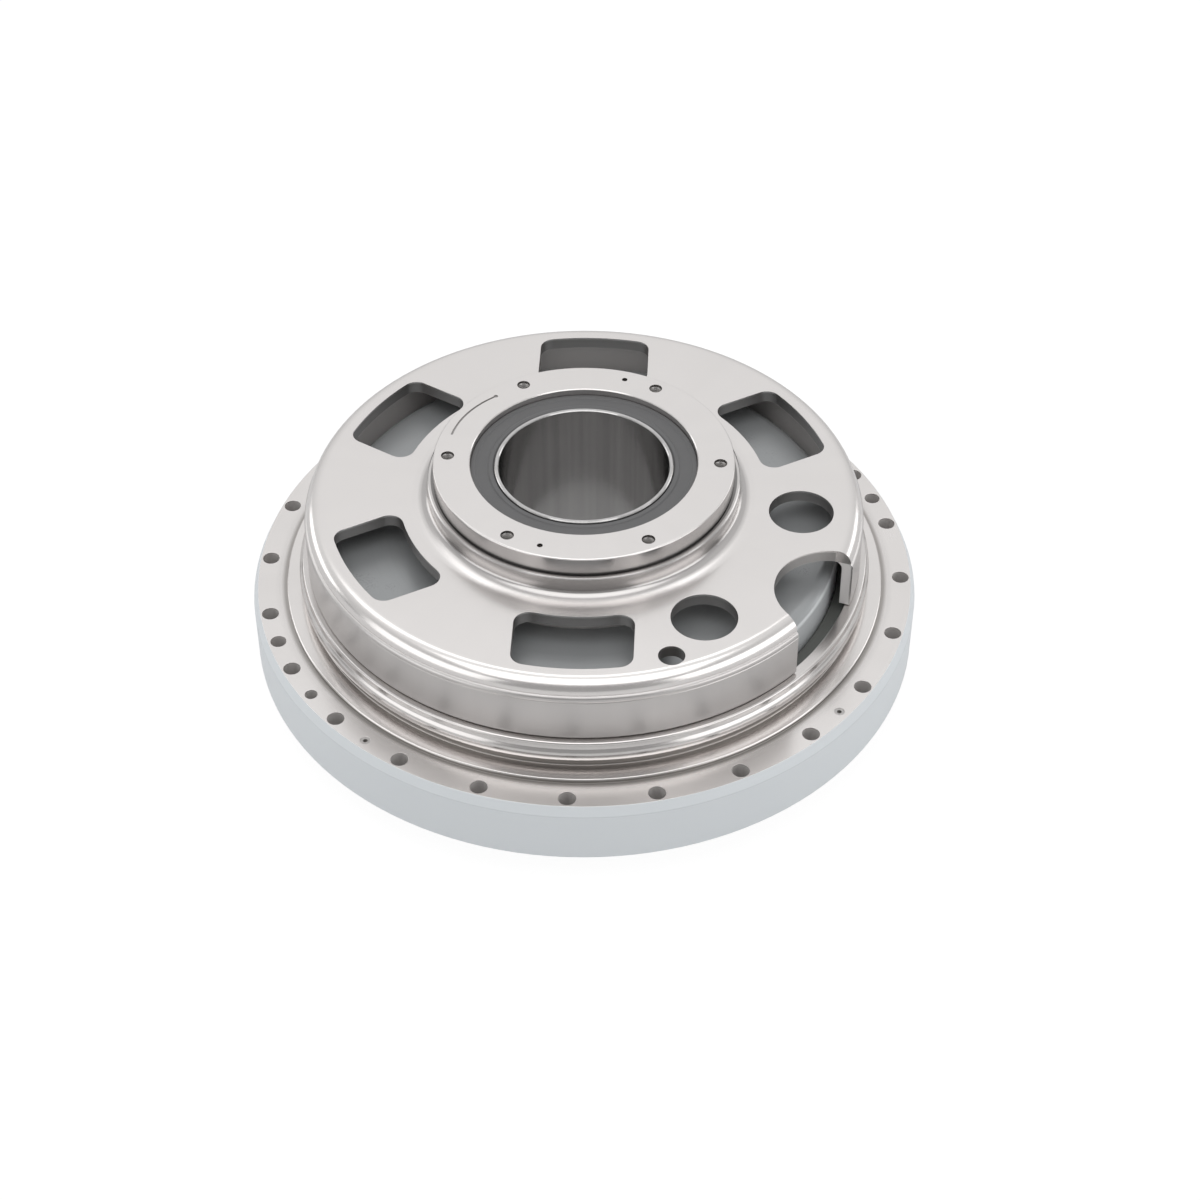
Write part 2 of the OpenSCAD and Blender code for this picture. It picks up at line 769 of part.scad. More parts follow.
module rear_carrier() {
    lip_r = race_r_in + 3;
    color("#6d7174")
    difference() {
        union() {
            translate([0, 0, rear_carrier_z]) cylinder(r = race_r_in, h = rear_carrier_t);
            translate([0, 0, rear_carrier_z]) cylinder(r = lip_r, h = lower_race_z - rear_carrier_z);
        }
        translate([0, 0, rear_carrier_z]) hole(pipe_r + seat, rear_carrier_t);
        around(3) translate([crank_circle_r, 0, rear_carrier_z]) {
            hole(cup_r + seat, rear_carrier_t);
            translate([0, 0, 0.2]) cylinder(r = cup_r + 1, h = retaining_ring_t + 0.1);
        }
        at_pillars() {
            at_pillar_bolts() translate([0, 0, rear_carrier_z]) {
                hole(bolt_r + 0.3, rear_carrier_t);
                translate([0, 0, -through]) cylinder(r = bolt_head_r + 0.4, h = bolt_head_h + 0.5 + through);
            }
            translate([dowel_x, 0, rear_carrier_z]) hole(dowel_r + seat, rear_carrier_t);
        }
    }
}

module carrier_bolts() {
    color("#3f4143")
    at_pillars() at_pillar_bolts() translate([0, 0, rear_carrier_z + 0.5])
        difference() {
            union() {
                cylinder(r = bolt_head_r, h = bolt_head_h);
                cylinder(r = bolt_r, h = bolt_head_h + bolt_l);
            }
            translate([0, 0, -through]) cylinder(r = bolt_r * 0.85, h = bolt_r + through, $fn = 6);
        }
}

module carrier_dowels() {
    color("#b4b6b8")
    at_pillars() translate([dowel_x, 0, rear_carrier_z + 0.6])
        cylinder(r = dowel_r, h = rear_carrier_t + 11);
}

// ---------------------------------------------------------------- crank bearings

// A point on the line at distance d from the roller's axis, t along it from its middle
function taper_point(d, a, t) = [
    taper_circle_r + d * cos(taper_a) + t * sin(a),
    -d * sin(taper_a) + t * cos(a)
];

// Cup of a taper bearing about its middle; the large end is up
module taper_cup() {
    half = crank_bearing_w / 2;
    gap = taper_roller_r + run;
    a = taper_a + taper_half_a;
    low = taper_point(gap, a, -half + 1);
    slope = tan(a);
    rotate_extrude()
        polygon([
            [low[0] + (-half - low[1]) * slope, -half],
            [cup_r, -half],
            [cup_r, half],
            [low[0] + (half - low[1]) * slope, half]
        ]);
}

// Cone of a taper bearing about its middle, with a rib at each end of the rollers
module taper_cone() {
    half = crank_bearing_w / 2;
    a = taper_a - taper_half_a;
    roller_end = taper_roller_l / 2 + 0.15;
    low = taper_point(-taper_roller_r - seat, a, -roller_end);
    high = taper_point(-taper_roller_r - seat, a, roller_end);
    rib = 1.2;
    rotate_extrude()
        polygon([
            [journal_r + seat, -half],
            [low[0] + rib * 0.4, -half],
            [low[0] + rib * 0.4, low[1]],
            low,
            high,
            [high[0] + rib, high[1] - rib * tan(taper_a)],
            [high[0] + rib, half],
            [journal_r + seat, half]
        ]);
}

module taper_rollers() {
    end_r = taper_roller_r - taper_roller_l / 2 * tan(taper_half_a);
    wide_r = taper_roller_r + taper_roller_l / 2 * tan(taper_half_a);
    around(taper_roller_n)
        translate([taper_circle_r, 0, 0])
            rotate([0, taper_a, 0])
                translate([0, 0, -taper_roller_l / 2]) cylinder(r1 = end_r, r2 = wide_r, h = taper_roller_l);
}

// Places its children at both bearings of a crank, each with its large end towards the outside
module at_crank_bearings() {
    half = crank_bearing_w / 2;
    translate([0, 0, upper_crank_bearing_z + half]) children();
    translate([0, 0, lower_crank_bearing_z + half]) mirror([0, 0, 1]) children();
}

module crank_bearing_cups() {
    color("#a3a7ab")
    around(3) translate([crank_circle_r, 0, 0]) at_crank_bearings() taper_cup();
}

module cup_retaining_rings() {
    color("#4c4e50")
    around(3) translate([crank_circle_r, 0, rear_carrier_z + 0.25])
        difference() {
            ring(cup_r - 2.2, cup_r + 0.8, retaining_ring_t);
            translate([cup_r, 0, 0]) cube([8, 5, 4], center = true);
        }
}

// ---------------------------------------------------------------- cranks

// Flats of a crank tail, grown by a gap
module tail_outline(gap) {
    flat = tail_r * 0.82 + gap;
    intersection() {
        circle(r = tail_r + gap);
        square([4 * tail_r, 2 * flat], center = true);
    }
}

module crankshaft() {
    journal_z = rear_carrier_z + 0.5;
    web_z = lower_disc_z + disc_t;
    upper_end_z = upper_race_z;
    groove_z = gear_z - retaining_ring_t - 0.1;
    difference() {
        union() {
            translate([0, 0, tail_z]) linear_extrude(journal_z - tail_z) tail_outline(0);
            translate([0, 0, journal_z]) cylinder(r = journal_r, h = crank_top_z - journal_z);
            translate([throw, 0, pillar_z + 0.2]) cylinder(r = eccentric_r, h = web_z - pillar_z - 0.2);
            translate([0, 0, web_z - 0.1]) cylinder(r = eccentric_r - throw - 1, h = disc_gap + 0.2);
            translate([-throw, 0, upper_disc_z]) cylinder(r = eccentric_r, h = upper_end_z - upper_disc_z);
        }
        translate([0, 0, groove_z]) ring(tail_r - 1, tail_r + through, retaining_ring_t + 0.1);
        translate([0, 0, tail_z - through]) cylinder(r1 = 4.5, r2 = 0.5, h = 5);
    }
}

// Each disc turns on a row of needles round its own eccentric
module needle_rollers() {
    needle_l = disc_t - 1.5;
    for (place = [[throw, lower_disc_z], [-throw, upper_disc_z]])
        translate([place[0], 0, place[1] + 0.75])
            around(needle_n)
                translate([eccentric_r + needle_r + seat, 0, 0]) cylinder(r = needle_r, h = needle_l);
}

// The bore keeps the tail's flats while the teeth turn to meet the centre gear
module spur_gear(k) {
    groove_r = gear_module * spur_teeth / 2 - 6;
    translate([0, 0, gear_z])
        difference() {
            rotate(mesh_a(k)) linear_extrude(gear_w) polygon(gear_outline(spur_teeth));
            translate([0, 0, -through]) linear_extrude(gear_w + 2 * through) tail_outline(0.04);
            translate([0, 0, gear_w - 2]) ring(tail_r + 4, groove_r, 2 + through);
            translate([0, 0, -through]) ring(tail_r + 4, groove_r, 2 + through);
        }
}

module tail_snap_ring() {
    translate([0, 0, gear_z - retaining_ring_t - 0.05])
        difference() {
            ring(tail_r - 0.9, tail_r + 1.8, retaining_ring_t);
            translate([tail_r, 0, 0]) cube([6, 3, 4], center = true);
        }
}

// Places its children on the crank at the given number of thirds of a turn, without turning the eccentrics
module at_crank(k) {
    a = 120 * (k - 1);
    translate([crank_circle_r * cos(a), crank_circle_r * sin(a), 0]) children();
}

// Angle that puts a spur gear's tooth space opposite the centre gear's tooth
function mesh_a(k) = 120 * (k - 1) + 180 + 180 / spur_teeth;

module crankshaft_1() color("#9a9da0") at_crank(1) crankshaft();
module crankshaft_2() color("#9a9da0") at_crank(2) crankshaft();
module crankshaft_3() color("#9a9da0") at_crank(3) crankshaft();
module crank_cones_1() color("#a3a7ab") at_crank(1) at_crank_bearings() taper_cone();
module crank_cones_2() color("#a3a7ab") at_crank(2) at_crank_bearings() taper_cone();
module crank_cones_3() color("#a3a7ab") at_crank(3) at_crank_bearings() taper_cone();
module taper_rollers_1() color("#c8ccd0") at_crank(1) at_crank_bearings() taper_rollers();
module taper_rollers_2() color("#c8ccd0") at_crank(2) at_crank_bearings() taper_rollers();
module taper_rollers_3() color("#c8ccd0") at_crank(3) at_crank_bearings() taper_rollers();
module needle_rollers_1() color("#c8ccd0") at_crank(1) needle_rollers();
module needle_rollers_2() color("#c8ccd0") at_crank(2) needle_rollers();
module needle_rollers_3() color("#c8ccd0") at_crank(3) needle_rollers();
module tail_snap_ring_1() color("#4c4e50") at_crank(1) tail_snap_ring();
module tail_snap_ring_2() color("#4c4e50") at_crank(2) tail_snap_ring();
module tail_snap_ring_3() color("#4c4e50") at_crank(3) tail_snap_ring();
module spur_gear_1() color("#8f9396") at_crank(1) spur_gear(1);
module spur_gear_2() color("#8f9396") at_crank(2) spur_gear(2);
module spur_gear_3() color("#8f9396") at_crank(3) spur_gear(3);

// ---------------------------------------------------------------- cycloid discs

// One disc, thrown to the side given, whose outline is turned with it
module cycloid_disc(side) {
    g = window_growth;
    corner = pillar_corner_r + g;
    translate([side * throw, 0, 0])
        difference() {
            rotate(side > 0 ? 0 : 180) linear_extrude(disc_t) polygon(cycloid_outline(12));
            hole(disc_bore_r, disc_t);
            around(3) translate([crank_circle_r, 0, 0]) hole(disc_crank_bore_r, disc_t);
            at_pillars()
                translate([0, 0, -through])
                    linear_extrude(disc_t + 2 * through)
                        polygon(window_outline(pillar_r_in - g, pillar_r_out + g, pillar_half_w + g, corner));
        }
}

module lower_cycloid_disc() color("#8b8f93") translate([0, 0, lower_disc_z]) cycloid_disc(1);
module upper_cycloid_disc() color("#8b8f93") translate([0, 0, upper_disc_z]) cycloid_disc(-1);

// ---------------------------------------------------------------- centre gear and its bearing

module centre_gear() {
    color("#8f9396")
    translate([0, 0, gear_z])
        difference() {
            linear_extrude(gear_w) polygon(gear_outline(centre_teeth));
            hole(gear_bore_r + seat, gear_w);
        }
}

module gear_race_groove() {
    translate([0, 0, gear_z + gear_w / 2])
        rotate_extrude() translate([gear_ball_circle_r, 0]) circle(r = gear_ball_r + run);
}

module gear_bearing_inner_race() {
    top = rear_carrier_z - gear_z;
    color("#a9adb2")
    difference() {
        translate([0, 0, gear_z]) ring(pipe_r + seat, gear_ball_circle_r - gear_ball_r * 0.45, top);
        gear_race_groove();
    }
}

module gear_bearing_outer_race() {
    color("#a9adb2")
    difference() {
        translate([0, 0, gear_z + 0.3])
            ring(gear_ball_circle_r + gear_ball_r * 0.45, gear_bore_r, gear_w - 0.6);
        gear_race_groove();
    }
}

module gear_bearing_balls() {
    color("#c8ccd0")
    translate([0, 0, gear_z + gear_w / 2])
        around(gear_ball_n) translate([gear_ball_circle_r, 0, 0]) sphere(r = gear_ball_r);
}

module pipe_snap_ring() {
    color("#4c4e50")
    translate([0, 0, gear_z - retaining_ring_t - 0.05])
        difference() {
            ring(pipe_r - 0.9, pipe_r + 2.2, retaining_ring_t);
            translate([pipe_r, 0, 0]) cube([8, 6, 4], center = true);
        }
}

case_flange();
grease_plugs();
ring_pins();
upper_outer_race();
lower_outer_race();
main_oil_seal();
upper_balls();
upper_ball_cage();
lower_balls();
lower_ball_cage();
output_cover();
front_carrier();
rear_carrier();
upper_inner_race();
lower_inner_race();
carrier_bolts();
carrier_dowels();
cover_screws();
centre_pipe();
hub_seal();
crank_bearing_cups();
cup_retaining_rings();
gear_bearing_inner_race();
pipe_snap_ring();
crankshaft_1();
crankshaft_2();
crankshaft_3();
crank_cones_1();
crank_cones_2();
crank_cones_3();
taper_rollers_1();
taper_rollers_2();
taper_rollers_3();
needle_rollers_1();
needle_rollers_2();
needle_rollers_3();
spur_gear_1();
spur_gear_2();
spur_gear_3();
tail_snap_ring_1();
tail_snap_ring_2();
tail_snap_ring_3();
lower_cycloid_disc();
upper_cycloid_disc();
centre_gear();
gear_bearing_outer_race();
gear_bearing_balls();
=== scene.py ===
import json
from math import cos, pi, radians, sin

import bpy
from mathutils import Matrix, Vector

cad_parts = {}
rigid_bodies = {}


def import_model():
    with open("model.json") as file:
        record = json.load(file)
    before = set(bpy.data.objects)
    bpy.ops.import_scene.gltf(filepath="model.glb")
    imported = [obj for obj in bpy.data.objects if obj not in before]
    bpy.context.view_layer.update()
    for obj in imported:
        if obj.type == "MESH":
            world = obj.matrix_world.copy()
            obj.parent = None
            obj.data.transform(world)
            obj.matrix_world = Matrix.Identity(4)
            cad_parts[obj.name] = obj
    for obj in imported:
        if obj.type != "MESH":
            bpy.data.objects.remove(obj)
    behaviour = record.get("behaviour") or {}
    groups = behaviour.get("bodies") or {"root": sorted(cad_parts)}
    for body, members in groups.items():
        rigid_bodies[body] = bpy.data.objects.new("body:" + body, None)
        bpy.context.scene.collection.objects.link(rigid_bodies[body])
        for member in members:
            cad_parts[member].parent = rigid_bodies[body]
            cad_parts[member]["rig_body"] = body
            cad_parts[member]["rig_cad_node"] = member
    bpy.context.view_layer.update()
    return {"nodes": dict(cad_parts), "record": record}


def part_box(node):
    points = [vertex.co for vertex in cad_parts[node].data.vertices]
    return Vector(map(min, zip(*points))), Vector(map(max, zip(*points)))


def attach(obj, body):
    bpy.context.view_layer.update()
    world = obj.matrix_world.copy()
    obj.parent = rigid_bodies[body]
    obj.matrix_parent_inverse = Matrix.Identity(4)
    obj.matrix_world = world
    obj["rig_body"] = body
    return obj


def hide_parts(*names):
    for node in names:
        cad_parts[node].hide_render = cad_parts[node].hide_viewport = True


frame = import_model()
nodes = frame["nodes"]
bodies = frame["record"]["behaviour"]["bodies"]
slot_of = {part["node"]: part["material_slot"] for part in frame["record"]["subparts"]}
MM = 0.001

# Camera: its place, tilt and lens
CAMERA_AT = (0.01037, -1.2613, 1.1921)
CAMERA_TILT = 47.44
CAMERA_LENS = 76.05
CAMERA_SENSOR = 36

# Heights and radii on the case, from the floor up
FLOOR_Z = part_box("case_flange")[0].z
RIM_LOW_Z = FLOOR_Z + 18 * MM
FLANGE_TOP_Z = FLOOR_Z + 63.3 * MM
TAPER_LOW_Z = FLANGE_TOP_Z - 6.5 * MM
NECK_TOP_Z = FLANGE_TOP_Z + 7.7 * MM
FLANGE_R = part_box("case_flange")[1].x
UNDERSIDE_PAINT_R = 191 * MM
HOLE_CIRCLE_R = FLANGE_R - 9.8 * MM
RING_R = FLANGE_R - 22.5 * MM
RING_H = 2.7 * MM
NECK_R = RING_R - 13 * MM

# Heights and radii on the cover, its hub and the drum
HUB_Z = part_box("output_cover")[1].z
HUB_STEP_Z = HUB_Z - 12.2 * MM
PLATE_Z = HUB_Z - 26.7 * MM
PLATE_LOW_Z = PLATE_Z - 8.5 * MM
COVER_R = 182 * MM
EDGE_W = 11 * MM
EDGE_H = 9 * MM
FOOT_R = 101.2 * MM
HUB_FACE_R = FOOT_R - 6 * MM
HUB_SEAL_R = 76 * MM
DRUM_R = 167.5 * MM

# Tapped holes of the hub
HUB_HOLE_COUNT = 6
HUB_HOLE_CIRCLE_R = 87.9 * MM
HUB_HOLE_ANGLE = -2.6
HUB_HOLE_R = 4.25 * MM
THREAD_PITCH = 1.5 * MM
THREAD_TURNS = 9
THREAD_FORM_R = 0.62 * MM
THREAD_STEPS = 28

# How the edges of a dressed piece are broken
MERGE_DISTANCE = 0.000002
FLAT_ANGLE = 0.2
SMOOTH_ANGLE = 28
EDGE_ANGLE = 32
EDGE_SEGMENTS = 2
EDGE_WIDTHS = {
    "case_flange": 0.5 * MM,
    "output_cover": 0.6 * MM,
    "front_carrier": 0.5 * MM,
    "rear_carrier": 0.5 * MM,
    "centre_pipe": 0.4 * MM,
    "hub_seal": 0.3 * MM,
    "main_oil_seal": 0.3 * MM,
}

# Colours of the case beside its bare iron: a dark colour painted into its neck and corners as painted shade,
# its pale paint, and that paint painted darker on its taper as painted shade and along a line at the taper's
# lower edge
PAINTED_SHADE = (0.14, 0.125, 0.11)
PAINT = (0.74, 0.775, 0.80)
SHADED_PAINT = (0.44, 0.47, 0.49)

# Share of the white backdrop that the camera sees, and that metal mirrors
FLOOR_SHARES = (0.86, 0.15)
ROOM_SHARES = (1.0, 0.2)
FLOOR_SIZE = 14
FLOOR_GREY = 0.66
FLOOR_GLOW = 1.1

# The room's brightness from its dark side to its bright side
BRIGHT_SIDE = (0, 0.6, 0.8)
ROOM_LEVELS = ((0.0, 0.30), (0.42, 0.22), (0.60, 0.30), (0.82, 0.68), (1.0, 0.88))

# Softboxes: place, turn in degrees, size and power
SOFTBOXES = {
    "overhead_light": ((0, -0.7, 1.95), (20, 0, 0), (2.4, 1.5), 13),
    "back_light": ((-0.5, 1.15, 2.35), (-28, 0, 0), (2.6, 0.7), 5),
    "left_light": ((-2.1, -1.3, 0.8), (72, 0, -58), (2.4, 1.6), 13),
    "right_light": ((2.1, -1.3, 0.8), (72, 0, 58), (2.4, 1.6), 16),
    "left_back_light": ((-2.6, 1.3, 0.55), (80, 0, -116), (1.6, 0.9), 6),
    "right_back_light": ((2.6, 1.3, 0.55), (80, 0, 116), (1.6, 0.9), 6),
}


# ---------------------------------------------------------------- shader maths

class Level:
    """A number that varies over a surface. Arithmetic on it adds Math nodes."""

    def __init__(self, finish, socket):
        self.finish = finish
        self.socket = socket

    def math(self, operation, *others, clamp=False):
        inputs = {0: self}
        inputs.update({place + 1: other for place, other in enumerate(others)})
        settings = {"operation": operation, "use_clamp": clamp}
        return Level(self.finish, self.finish.node("ShaderNodeMath", settings, inputs).outputs[0])

    def __add__(self, other):
        return self.math("ADD", other)

    __radd__ = __add__

    def __mul__(self, other):
        return self.math("MULTIPLY", other)

    __rmul__ = __mul__

    def __sub__(self, other):
        return self.math("SUBTRACT", other)

    def __rsub__(self, other):
        return (self * -1) + other

    def __truediv__(self, other):
        return self.math("DIVIDE", other)

    def __pow__(self, other):
        return self.math("POWER", other)

    def __abs__(self):
        return self.math("ABSOLUTE")

    def ramp(self, low, high):
        """0 below low, 1 above high, and straight in between."""
        return ((self - low) / (high - low)).math("MULTIPLY", 1, clamp=True)

    def between(self, low, high, soft):
        """1 between low and high, fading out over soft on each side."""
        return self.ramp(low - soft, low) * (1 - self.ramp(high, high + soft))


class Finish:
    """One surface finish: a Principled shader and the patterns that vary it."""

    def __init__(self, name, color, metallic, roughness, **fixed):
        self.material = bpy.data.materials.new(name)
        self.material.use_nodes = True
        self.tree = self.material.node_tree
        self.shader = self.tree.nodes["Principled BSDF"]
        self.color = color
        self.shader.inputs["Base Color"].default_value = (*color, 1)
        self.shader.inputs["Metallic"].default_value = metallic
        self.shader.inputs["Roughness"].default_value = roughness
        for socket, value in fixed.items():
            self.shader.inputs[socket.replace("_", " ")].default_value = value
        spot = self.node("ShaderNodeTexCoord", {}, {}).outputs["Object"]
        place = self.node("ShaderNodeSeparateXYZ", {}, {0: spot})
        self.x, self.y, self.z = (Level(self, place.outputs[axis]) for axis in range(3))
        self.radius = (self.x * self.x + self.y * self.y) ** 0.5

    def node(self, kind, settings, inputs):
        made = self.tree.nodes.new(kind)
        for name, value in settings.items():
            setattr(made, name, value)
        for name, value in inputs.items():
            if isinstance(value, Level):
                value = value.socket
            if isinstance(value, bpy.types.NodeSocket):
                self.tree.links.new(value, made.inputs[name])
            else:
                made.inputs[name].default_value = value
        return made

    def noise(self, vector, scale, detail=2.0, roughness=0.5):
        made = self.node("ShaderNodeTexNoise", {"noise_dimensions": "3D"},
                         {"Vector": vector, "Scale": scale, "Detail": detail, "Roughness": roughness})
        return Level(self, made.outputs[0])

    def joined(self, x, y, z):
        return self.node("ShaderNodeCombineXYZ", {}, {0: x, 1: y, 2: z}).outputs[0]

    def mottle(self, scale, detail=3.0):
        """Soft clouds in space."""
        return self.noise(self.joined(self.x, self.y, self.z), scale, detail)

    def turning(self, scale):
        """Rings round the axis, on faces and on walls alike, as a lathe leaves them."""
        return self.noise(self.joined(self.radius, self.z * 1.3, 0.0), scale, 4.0, 0.7)

    def streaks(self, scale):
        """Bands that run up a turned wall and out along a face."""
        return self.noise(self.joined(self.x / self.radius, self.y / self.radius, 0.0), scale, 3.0, 0.6)

    def mix(self, mask, first, second):
        made = self.node("ShaderNodeMix", {"data_type": "RGBA"}, {0: mask})
        for place, value in ((6, first), (7, second)):
            if isinstance(value, bpy.types.NodeSocket):
                self.tree.links.new(value, made.inputs[place])
            else:
                made.inputs[place].default_value = (*value, 1)
        return made.outputs[2]

    def tinted(self, factor):
        """The finish's own colour, darker and lighter by a level round 1."""
        made = self.node("ShaderNodeVectorMath", {"operation": "SCALE"}, {0: self.color, "Scale": factor})
        return made.outputs[0]

    def set(self, **links):
        for name, value in links.items():
            value = value.socket if isinstance(value, Level) else value
            self.tree.links.new(value, self.shader.inputs[name.replace("_", " ")])

    def bump(self, height, distance, strength=1.0):
        made = self.node("ShaderNodeBump", {}, {"Strength": strength, "Distance": distance, "Height": height})
        self.tree.links.new(made.outputs[0], self.shader.inputs["Normal"])

def varied(base, *patterns):
    """A base value that patterns move up and down; each is a level round 0.5 and the width of its swing."""
    for level, swing in patterns:
        base = base + (level - 0.5) * swing
    return base


def turned_steel(name, color, roughness, streak):
    """Steel off the lathe: fine rings, soft bands up its walls and a little handling haze."""
    finish = Finish(name, color, 1.0, roughness, Anisotropic=0.7, Anisotropic_Rotation=0.25)
    haze = finish.mottle(14.0)
    fine = finish.turning(620.0)
    band = finish.streaks(5.0)
    finish.set(Base_Color=finish.tinted(varied(1, (fine, 0.04), (band, streak), (haze, 0.05))),
               Roughness=varied(roughness, (haze, 0.12), (fine, 0.05)))
    finish.bump(fine, 0.000004, 0.3)
    return finish


def cut_steel(name, color, roughness):
    """Ground or hobbed steel: a fine even grain and thin oil."""
    finish = Finish(name, color, 1.0, roughness)
    grain = finish.mottle(900.0, 2.0)
    oil = finish.mottle(22.0)
    finish.set(Base_Color=finish.tinted(varied(1, (grain, 0.10), (oil, 0.14))),
               Roughness=varied(roughness, (oil, 0.16), (grain, 0.05)))
    finish.bump(grain, 0.000006, 0.3)
    return finish


def rubber(name, color, roughness):
    """Moulded seal rubber with a faint bloom and moulding rings."""
    finish = Finish(name, color, 0.0, roughness, Specular_IOR_Level=0.4)
    bloom = finish.mottle(40.0)
    rings = finish.turning(500.0)
    finish.set(Base_Color=finish.tinted(varied(1, (bloom, 0.20), (rings, 0.10))),
               Roughness=varied(roughness, (bloom, 0.2)))
    finish.bump(rings, 0.00002, 0.3)
    return finish


def cover_finish():
    """The turning cover: warm bright steel outside, darker in its cut walls and dull inside, where it is
    painted lighter as painted light; its wall, the line under its rounded edge and the face groove, wall, step
    and foot of its hub carry painted shade.
    """
    roughness = 0.22
    finish = Finish("cover_steel", (0.775, 0.750, 0.738), 1.0, roughness)
    radius, z = finish.radius, finish.z
    haze = finish.mottle(11.0)
    fine = finish.turning(520.0)
    band = finish.streaks(4.5)

    # The turned outside, and the walls of the windows and the space under the plate, which is painted lighter
    # as painted light
    outside = radius.ramp(COVER_R - 1.4 * MM, COVER_R - 0.9 * MM)
    above = z.ramp(PLATE_Z - 1.6 * MM, PLATE_Z - 0.8 * MM)
    edge = (radius.ramp(COVER_R - EDGE_W - 1 * MM, COVER_R - EDGE_W)
            * z.ramp(PLATE_Z - EDGE_H - 1 * MM, PLATE_Z - EDGE_H))
    cut = 1 - outside.math("MAXIMUM", above).math("MAXIMUM", edge)
    inside = cut * (1 - z.ramp(PLATE_LOW_Z - 0.4 * MM, PLATE_LOW_Z + 0.4 * MM))

    # The wall, painted darker as painted shade for the dim reflection it shows, its lower part, darker towards
    # the bottom, and the line under its rounded edge, a painted dark reflection
    wall = outside * (1 - above)
    low = wall * (1 - z.ramp(NECK_TOP_Z + 8 * MM, NECK_TOP_Z + 40 * MM))
    brow_shade = outside * z.between(PLATE_Z - 8.6 * MM, PLATE_Z - 7.6 * MM, 1.2 * MM)

    # The hub, each painted darker as painted shade: the arc turned in its face with the tops of the hole walls,
    # its wall, the step in it and the foot below
    groove_shade = (z.between(HUB_Z - 0.9 * MM, HUB_Z - 0.4 * MM, 0.1 * MM)
              * radius.between(HUB_SEAL_R, HUB_FACE_R, 0.2 * MM))
    riser_shade = (z.between(PLATE_Z + 1.2 * MM, HUB_Z - 1.4 * MM, 0.8 * MM)
             * radius.ramp(HUB_SEAL_R, HUB_SEAL_R + 4 * MM))
    step_shade = (z.between(HUB_STEP_Z - 0.6 * MM, HUB_STEP_Z + 0.7 * MM, 0.4 * MM)
            * radius.between(HUB_FACE_R, FOOT_R - 2.4 * MM, 0.5 * MM))
    foot_shade = riser_shade * (1 - z.ramp(HUB_STEP_Z - 0.8 * MM, HUB_STEP_Z - 0.4 * MM))

    pattern = varied(1, (fine, 0.03), (band, 0.06 + wall * 0.12), (haze, 0.04))
    # Painted shade darkens the wall, its lower part, the line under the rounded edge, the groove in the hub's
    # face with the tops of the hole walls, and the hub's wall, step and foot; painted light lightens the
    # inside.
    tone = (1 + inside * 0.42 - cut * 0.5 - wall * 0.25 - low * 0.08 - brow_shade * 0.34
            - groove_shade * 0.5 - riser_shade * 0.18 - step_shade * 0.5 - foot_shade * 0.16)
    finish.set(Base_Color=finish.tinted(pattern * tone),
               Metallic=1 - inside * 0.85,
               Roughness=varied(roughness + cut * 0.18 + wall * 0.10, (haze, 0.08), (fine, 0.04)))
    finish.bump(fine, 0.000004, 0.25)
    return finish


